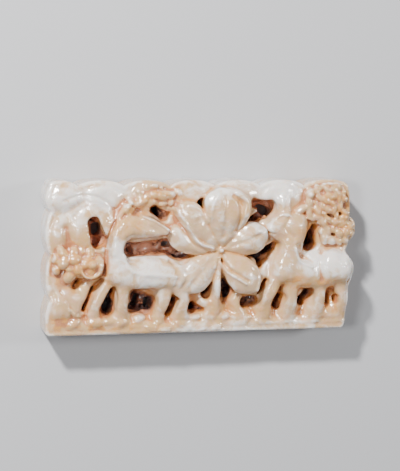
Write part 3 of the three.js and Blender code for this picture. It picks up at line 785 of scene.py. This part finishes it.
handWork = {
    "edgeLine": 1.4, "edgeWidth": 0.5, "edgeDepth": 0.16,  # a faint line along the rim
    "edgeHeights": (10, 10.8),
    "wave": 0.16, "waveGrain": 1.5, "ripple": 0.045, "rippleGrain": 0.6,
    "onWalls": 0.1,  # share of the waves that the outer walls keep
    "wallsTo": -1.2, "backTo": 1.0,  # where the full waves begin, inside the rim and above the back
    "rough": 0.34, "roughGrain": 0.65,  # tool marks left in the gaps
    "roughInside": (-1.6, -3.0), "roughBelow": (9.8, 7.8), "roughAbove": (3.0, 4.6),
    "seed": 11,
}


def blurred(values, sigma):  # softened along each axis in turn
    reach = int(3 * sigma) + 1
    weights = np.exp(-0.5 * (np.arange(-reach, reach + 1) / sigma) ** 2)
    weights /= weights.sum()
    for axis in range(3):
        padded = np.pad(values, [(reach, reach) if a == axis else (0, 0) for a in range(3)], mode="edge")
        values = sum(w * np.take(padded, range(k, k + values.shape[axis]), axis) for k, w in enumerate(weights))
    return values


def unevenness(random, grain):  # gentle random waves of about one unit
    waves = blurred(random.standard_normal(stone.dist.shape, np.float32), grain / stone.step)
    return waves / waves.std()


def handFinish():
    for width, depth, run in faceLines.values():
        engrave(run, width, depth)
    nearEdge = np.exp(-((stone.outline + handWork["edgeLine"]) / handWork["edgeWidth"]) ** 2)
    onRim = ease(*handWork["edgeHeights"], stone.z)
    stone.dist += (handWork["edgeDepth"] * nearEdge[..., None] * onRim).astype(np.float32)
    random = np.random.default_rng(handWork["seed"])
    waves = handWork["wave"] * unevenness(random, handWork["waveGrain"])
    waves += handWork["ripple"] * unevenness(random, handWork["rippleGrain"])
    onFace = handWork["onWalls"] + (1 - handWork["onWalls"]) * ease(0.0, handWork["wallsTo"], stone.outline)
    stone.dist += (waves * onFace[..., None] * ease(0.0, handWork["backTo"], stone.z)).astype(np.float32)
    inGaps = ease(*handWork["roughInside"], stone.outline)[..., None]
    inGaps = inGaps * ease(*handWork["roughBelow"], stone.z) * ease(*handWork["roughAbove"], stone.z)
    stone.dist += (handWork["rough"] * inGaps * unevenness(random, handWork["roughGrain"])).astype(np.float32)
    for run in windows.values():
        pierce(run, piercing["windowFloor"], 0, piercing["windowBlend"], piercing["windowCeiling"])
    shoulder = softMax(stone.outline[..., None], stone.z - plaque["thickness"], plaque["shoulder"])
    stone.dist = np.maximum(stone.dist, np.maximum(shoulder, -stone.z))


handFinish()
print("face lines, tool marks and windows cut")


# The stone's surface as a mesh, with what the finish needs to know at each point

def sampled(values, points):  # values of the grid at points in plan millimetres
    place = (points - stone.low) / stone.step
    base = np.floor(place).astype(int)
    base = np.clip(base, 0, np.array(values.shape) - 2)
    part = place - base
    result = np.zeros(len(points))
    for corner in np.ndindex(2, 2, 2):
        weight = np.prod(np.where(corner, part, 1 - part), axis=1)
        result += weight * values[tuple((base + corner).T)]
    return result


def largestShell(points, faces):  # leaves out crumbs and bubbles that touch nothing
    shell = np.arange(len(points))
    while True:
        lowest = shell[faces].min(axis=1)
        joined = shell.copy()
        for corner in faces.T:
            np.minimum.at(joined, corner, lowest)
        joined = joined[joined]
        if np.array_equal(joined, shell):
            break
        shell = joined
    shells, sizes = np.unique(shell[faces[:, 0]], return_counts=True)
    kept = faces[shell[faces[:, 0]] == shells[sizes.argmax()]]
    used, packed = np.unique(kept, return_inverse=True)
    print("left out", len(shells) - 1, "loose crumbs")
    return points[used], packed.reshape(-1, faces.shape[1])


def meshStone(name):
    grid = openvdb.FloatGrid(plaque["outside"])
    grid.copyFromArray(stone.dist)
    points, _, quads = grid.convertToPolygons(isovalue=0.0, adaptivity=0.0)
    points, quads = largestShell(points * stone.step + stone.low, quads.astype(np.int64))
    mesh = bpy.data.meshes.new(name)
    corner = np.array(cadLow) / mm
    mesh.from_pydata(((points + corner) * mm).tolist(), [], quads.tolist())
    mesh.validate()
    piece = bpy.data.objects.new(name, mesh)
    bpy.context.scene.collection.objects.link(piece)
    count = 2 * len(quads)
    print("surface of", count, "triangles")
    if count > plaque["mostTriangles"]:
        thin = piece.modifiers.new("thin", "DECIMATE")
        thin.ratio = plaque["mostTriangles"] / count
        thin.use_collapse_triangulate = True
        evaluated = piece.evaluated_get(bpy.context.evaluated_depsgraph_get())
        thinned = bpy.data.meshes.new_from_object(evaluated)
        piece.modifiers.remove(thin)
        piece.data = thinned
        bpy.data.meshes.remove(mesh)
        thinned.name = name
    piece.data.polygons.foreach_set("use_smooth", [True] * len(piece.data.polygons))
    return piece


# Patches of colour in plan: [x, y, half length, half width, strength]
tinting = {
    "skin": [
        [8.0, 19.6, 7.5, 5.2, 1.6], [3.0, 17.5, 3.5, 3.5, 0.8], [6.0, 3.0, 9.0, 4.5, 1.3],
        [17.0, 3.0, 8.0, 3.0, 0.8], [81.5, 36.5, 6.5, 6.0, 1.4], [76.0, 40.0, 4.0, 3.0, 0.6],
        [80.0, 28.0, 6.0, 4.0, 0.5], [79.0, 13.6, 5.0, 1.6, 0.7], [70.0, 14.6, 3.0, 1.6, 0.6],
        [21.0, 33.0, 3.0, 4.5, 1.0], [30.5, 38.8, 6.0, 3.5, 0.9], [76.0, 14.0, 9.0, 3.2, 0.6],
        [83.0, 8.0, 3.5, 4.0, 0.8], [36.0, 3.0, 8.0, 2.5, 0.4], [70.0, 4.0, 8.0, 2.5, 0.4],
        [6.0, 27.0, 3.0, 4.0, 0.5], [33.5, 31.0, 3.0, 2.5, 0.5], [60.0, 6.0, 4.0, 3.0, 0.3],
        [40.0, 30.0, 4.0, 3.0, 0.3],
    ],
    # lit: patches where light is painted into the gaps; there the floors turn reddish brown instead of painted
    # dark shade
    "lit": [
        [28.0, 23.8, 6.0, 3.5, 1.0], [36.0, 24.0, 4.0, 3.0, 0.7], [14.0, 28.5, 2.5, 5.0, 0.8],
        [62.0, 34.5, 4.5, 3.5, 1.0], [27.2, 9.0, 3.2, 2.6, 0.6], [14.6, 26.4, 2.6, 2.6, 0.7],
        [33.5, 32.5, 1.6, 3.0, 0.8], [45.5, 35.5, 1.4, 3.0, 0.8],
        [66.0, 23.5, 2.5, 3.0, 0.7], [67.0, 8.5, 3.0, 4.0, 0.6], [58.5, 7.5, 3.0, 2.5, 0.6],
        [51.5, 11.5, 2.0, 4.0, 0.5], [82.0, 8.5, 3.0, 3.0, 0.7], [74.0, 8.0, 2.5, 3.0, 0.3],
        [8.6, 14.2, 2.0, 2.0, 0.7], [12.5, 11.5, 3.0, 5.0, 0.8], [35.6, 7.5, 1.6, 4.0, 0.6],
        [43.8, 6.4, 1.4, 1.6, 0.6], [77.2, 27.0, 1.4, 3.0, 0.9],
    ],
    # pale: whiter stone; over the left deer's back and neck, the right deer's rump and the two end walls it is
    # partly painted highlight
    "paleAndHighlight": [
        [5.0, 38.0, 6.0, 5.0, 0.9], [15.0, 38.0, 7.0, 4.5, 0.9], [28.0, 17.5, 9.0, 4.5, 1.0],
        [19.5, 22.5, 3.0, 6.0, 0.7], [67.0, 40.0, 8.0, 3.0, 1.0], [41.0, 40.0, 7.0, 3.0, 0.7],
        [52.0, 41.0, 8.0, 2.5, 0.7], [82.0, 20.0, 6.0, 4.5, 1.0], [74.0, 21.0, 5.0, 3.0, 0.6],
        [88.0, 16.0, 2.0, 8.0, 0.7], [25.0, 4.0, 6.0, 3.0, 0.4], [60.0, 2.0, 30.0, 2.5, 0.5],
        [0.0, 25.0, 1.5, 20.0, 0.6],
    ],
}
shading = {
    "wide": 2.0, "fine": 0.6,  # how far round a point the stone is felt, in millimetres
    # how strongly creases are painted darker, partly as painted shade, and ridges paler, as painted highlight
    "creviceStainAndShade": 4, "ridge": 3, "mostTint": 1.7,
    "pitInside": (-1.0, -2.2), "pitTop": 11.2, "pitDepth": 6.0, "pitFloor": (0.2, 1.0),
}


def paintStone(piece):
    mesh = piece.data
    flat = np.zeros(3 * len(mesh.vertices), np.float32)
    mesh.vertices.foreach_get("co", flat)
    points = flat.reshape(-1, 3) / mm - np.array(cadLow) / mm
    solid = (stone.dist < 0).astype(np.float32)
    wide = sampled(blurred(solid, shading["wide"] / stone.step), points)
    fine = sampled(blurred(solid, shading["fine"] / stone.step), points)
    height = points[:, 2]
    fromEdge = sampled(np.repeat(stone.outline[..., None], len(stone.z), axis=2), points)
    sunk = np.clip((shading["pitTop"] - height) / shading["pitDepth"], 0, 1)
    layers = {
        # crevice: creases, where russet gathers and where shade falls; both are painted into the colour
        "creviceStainAndShade": np.clip((fine - 0.5) * shading["creviceStainAndShade"] + (wide - 0.5), 0, 1),
        # ridge: where the stone curves outwards; further down, ridges are painted whiter as painted highlight
        "ridge": np.clip((0.5 - fine) * shading["ridge"], 0, 1),
        # pit: depth into the gaps, painted from orange stain at the rims down to brown and near black; the
        # darkening is painted shade
        "pit": ease(*shading["pitInside"], fromEdge) * sunk * ease(*shading["pitFloor"], height),
    }
    for name, patches in tinting.items():
        total = np.zeros(len(points))
        for x, y, long, wide, strength in patches:
            total += strength * np.exp(-((points[:, 0] - x) / long) ** 2 - ((points[:, 1] - y) / wide) ** 2)
        layers[name] = np.clip(total, 0, shading["mostTint"])
    for name, values in layers.items():
        attribute = mesh.attributes.new(name, "FLOAT", "POINT")
        attribute.data.foreach_set("value", values.astype(np.float32))


carving = meshStone("carved_jade")
paintStone(carving)
print("mesh made:", len(carving.data.polygons), "faces")


# Jade: creamy stone with ridges painted white as highlight, a russet skin deepened in the creases as painted
# shade, and pits from orange stain at their rims to painted dark shade at the bottom, or to reddish brown as
# painted light where light falls in

jadeLook = {
    "cream": (0.62, 0.435, 0.26, 1), "rose": (0.68, 0.41, 0.29, 1), "honey": (0.56, 0.34, 0.14, 1),
    "white": (0.81, 0.75, 0.69, 1), "tan": (0.60, 0.27, 0.065, 1), "orange": (0.52, 0.19, 0.035, 1),
    # brown is stain and, in creases and gaps, painted shade; the reddish brown after it is painted light on the
    # floors of lit gaps; the last is painted dark shade at the bottom of the gaps
    "brown": (0.46, 0.19, 0.09, 1), "litPitBrown": (0.74, 0.36, 0.22, 1), "paintedPitShade": (0.10, 0.04, 0.032, 1),
    "clouds": 80, "mottle": 300, "specks": 600, "grain": 1700,  # how many patches to the metre
    "roughness": 0.14, "ior": 1.62, "coat": 0.85, "coatRoughness": 0.1, "coatIor": 1.6,
    "bump": 0.3, "bumpHeight": 0.0004,
    "glow": 0.3, "glowTint": (1.0, 0.6, 0.35), "glowReach": 0.002,
}


def finishJade(s):
    look = jadeLook
    coords = s.node("ShaderNodeTexCoord").outputs["Object"]
    creviceStainAndShade, ridge, pit, lit, skin, paleAndHighlight = (
        s.attribute(n) for n in ("creviceStainAndShade", "ridge", "pit", "lit", "skin", "paleAndHighlight")
    )
    clouds = s.noise(coords, look["clouds"], 2).between(0.36, 0.64)
    mottle = s.noise(coords, look["mottle"], 4, 0.6, 0.5).between(0.34, 0.66)
    specks = s.noise(coords, look["specks"], 2, 0.5, 0.8).between(0.4, 0.66)
    grain = s.noise(coords, look["grain"], 3)
    tone = s.mix(clouds * 0.8 + skin * 0.5, look["cream"], look["honey"])
    tone = s.mix(specks * 0.45, tone, look["rose"])  # rosy flecks all through
    # Whiter stone, with ridges painted white as painted highlight and the pale patches partly painted highlight
    whitening = paleAndHighlight - skin * 0.4 + ridge + (mottle - 0.5) * 0.6 + (0.5 - clouds) * 0.4
    tone = s.mix(whitening.between(0.1, 0.85), tone, look["white"])
    # Russet skin, deepened in the creases as painted shade and cleared from the ridges as painted highlight
    russetShadeAndHighlight = skin * (0.6 + creviceStainAndShade * 1.5) + (mottle - 0.5) * 0.9 + (clouds - 0.5) * 0.5 - ridge * 0.9
    russetShadeAndHighlight = russetShadeAndHighlight.between(0.2, 1.0)
    tone = s.mix(russetShadeAndHighlight * 0.9, tone, look["tan"])
    tone = s.mix(creviceStainAndShade.between(0.1, 0.7) * 0.7, tone, look["tan"])  # tan in the creases: partly russet gathered there, partly painted shade
    # brown deep in the creases of the russet skin: partly stain, partly painted shade
    tone = s.mix((creviceStainAndShade * (skin * 1.7 + 0.2)).between(0.08, 0.5) * 0.9, tone, look["brown"])
    # Down into the gaps: orange stain at the rims, then brown, partly stain and partly painted shade, and at
    # the bottom near black as painted shade, or reddish brown as painted light where the lit patches lie
    sunk = pit + (mottle - 0.5) * 0.4
    pitFloorShadeAndLight = s.mix((lit - 0.2 + (specks - 0.5) * 0.5).between(0.0, 0.7), look["paintedPitShade"], look["litPitBrown"])
    tone = s.mix(pit.between(0.02, 0.3) * 0.9, tone, look["orange"])  # from here down into the gaps
    tone = s.mix(sunk.between(0.2, 0.55), tone, look["brown"])
    tone = s.mix(sunk.between(0.5, 0.9), tone, pitFloorShadeAndLight)
    roughness = look["roughness"] + pit.between(0.1, 0.5) * 0.3 + russetShadeAndHighlight * 0.08 + mottle * 0.08
    bump = s.node("ShaderNodeBump", None, {
        "Height": grain * 0.35 + mottle * 0.65, "Strength": look["bump"], "Distance": look["bumpHeight"],
    })
    surface = s.node("ShaderNodeBsdfPrincipled", None, {
        "Base Color": tone, "Roughness": roughness, "Normal": bump.outputs["Normal"],
        "IOR": look["ior"], "Coat Weight": look["coat"],
        "Coat Roughness": look["coatRoughness"], "Coat IOR": look["coatIor"],
        "Subsurface Weight": look["glow"], "Subsurface Radius": look["glowTint"],
        "Subsurface Scale": look["glowReach"],
    })
    s.node("ShaderNodeOutputMaterial", None, {"Surface": surface.outputs[0]})


finishJade(jadeTree)
carving.data.materials.append(jade)
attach(carving, "root")
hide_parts("jade_carving")
print("jade finished")


# Pale floor and soft studio light

studio = {
    "floorSize": 3.0, "floorTone": (0.46, 0.46, 0.47, 1), "floorRoughness": 0.8, "floorDrop": 0.00005,
    "world": (0.84, 0.9, 1.0, 1), "worldStrength": 0.2,
    "lamps": {
        "key": {"at": (-0.28, 0.38, 0.38), "size": 0.045, "power": 7.7},
        "front": {"at": (-0.26, 0.06, 0.42), "size": 0.08, "power": 1.2},
        "fill": {"at": (0.42, 0.12, 0.4), "size": 0.08, "power": 1.6},
    },
}


def makeStudio():
    half = studio["floorSize"] / 2
    mesh = bpy.data.meshes.new("floor")
    corners = [(-half, -half, 0), (half, -half, 0), (half, half, 0), (-half, half, 0)]
    mesh.from_pydata(corners, [], [(0, 1, 2, 3)])
    floor = bpy.data.objects.new("floor", mesh)
    floor.location.z = -studio["floorDrop"]
    bpy.context.scene.collection.objects.link(floor)
    material, s = newMaterial("floorPaper")
    surface = s.node("ShaderNodeBsdfPrincipled", None, {
        "Base Color": studio["floorTone"], "Roughness": studio["floorRoughness"],
    })
    s.node("ShaderNodeOutputMaterial", None, {"Surface": surface.outputs[0]})
    mesh.materials.append(material)
    for name, lamp in studio["lamps"].items():
        data = bpy.data.lights.new(name, "AREA")
        data.shape = "SQUARE"
        data.size = lamp["size"]
        data.energy = lamp["power"]
        light = bpy.data.objects.new(name, data)
        light.location = lamp["at"]
        light.rotation_euler = (-Vector(lamp["at"])).to_track_quat("-Z", "Y").to_euler()
        bpy.context.scene.collection.objects.link(light)
    world = bpy.data.worlds.new("studio")
    world.use_nodes = True
    sky = world.node_tree.nodes["Background"]
    sky.inputs["Color"].default_value = studio["world"]
    sky.inputs["Strength"].default_value = studio["worldStrength"]
    bpy.context.scene.world = world


makeStudio()
print("studio lit")
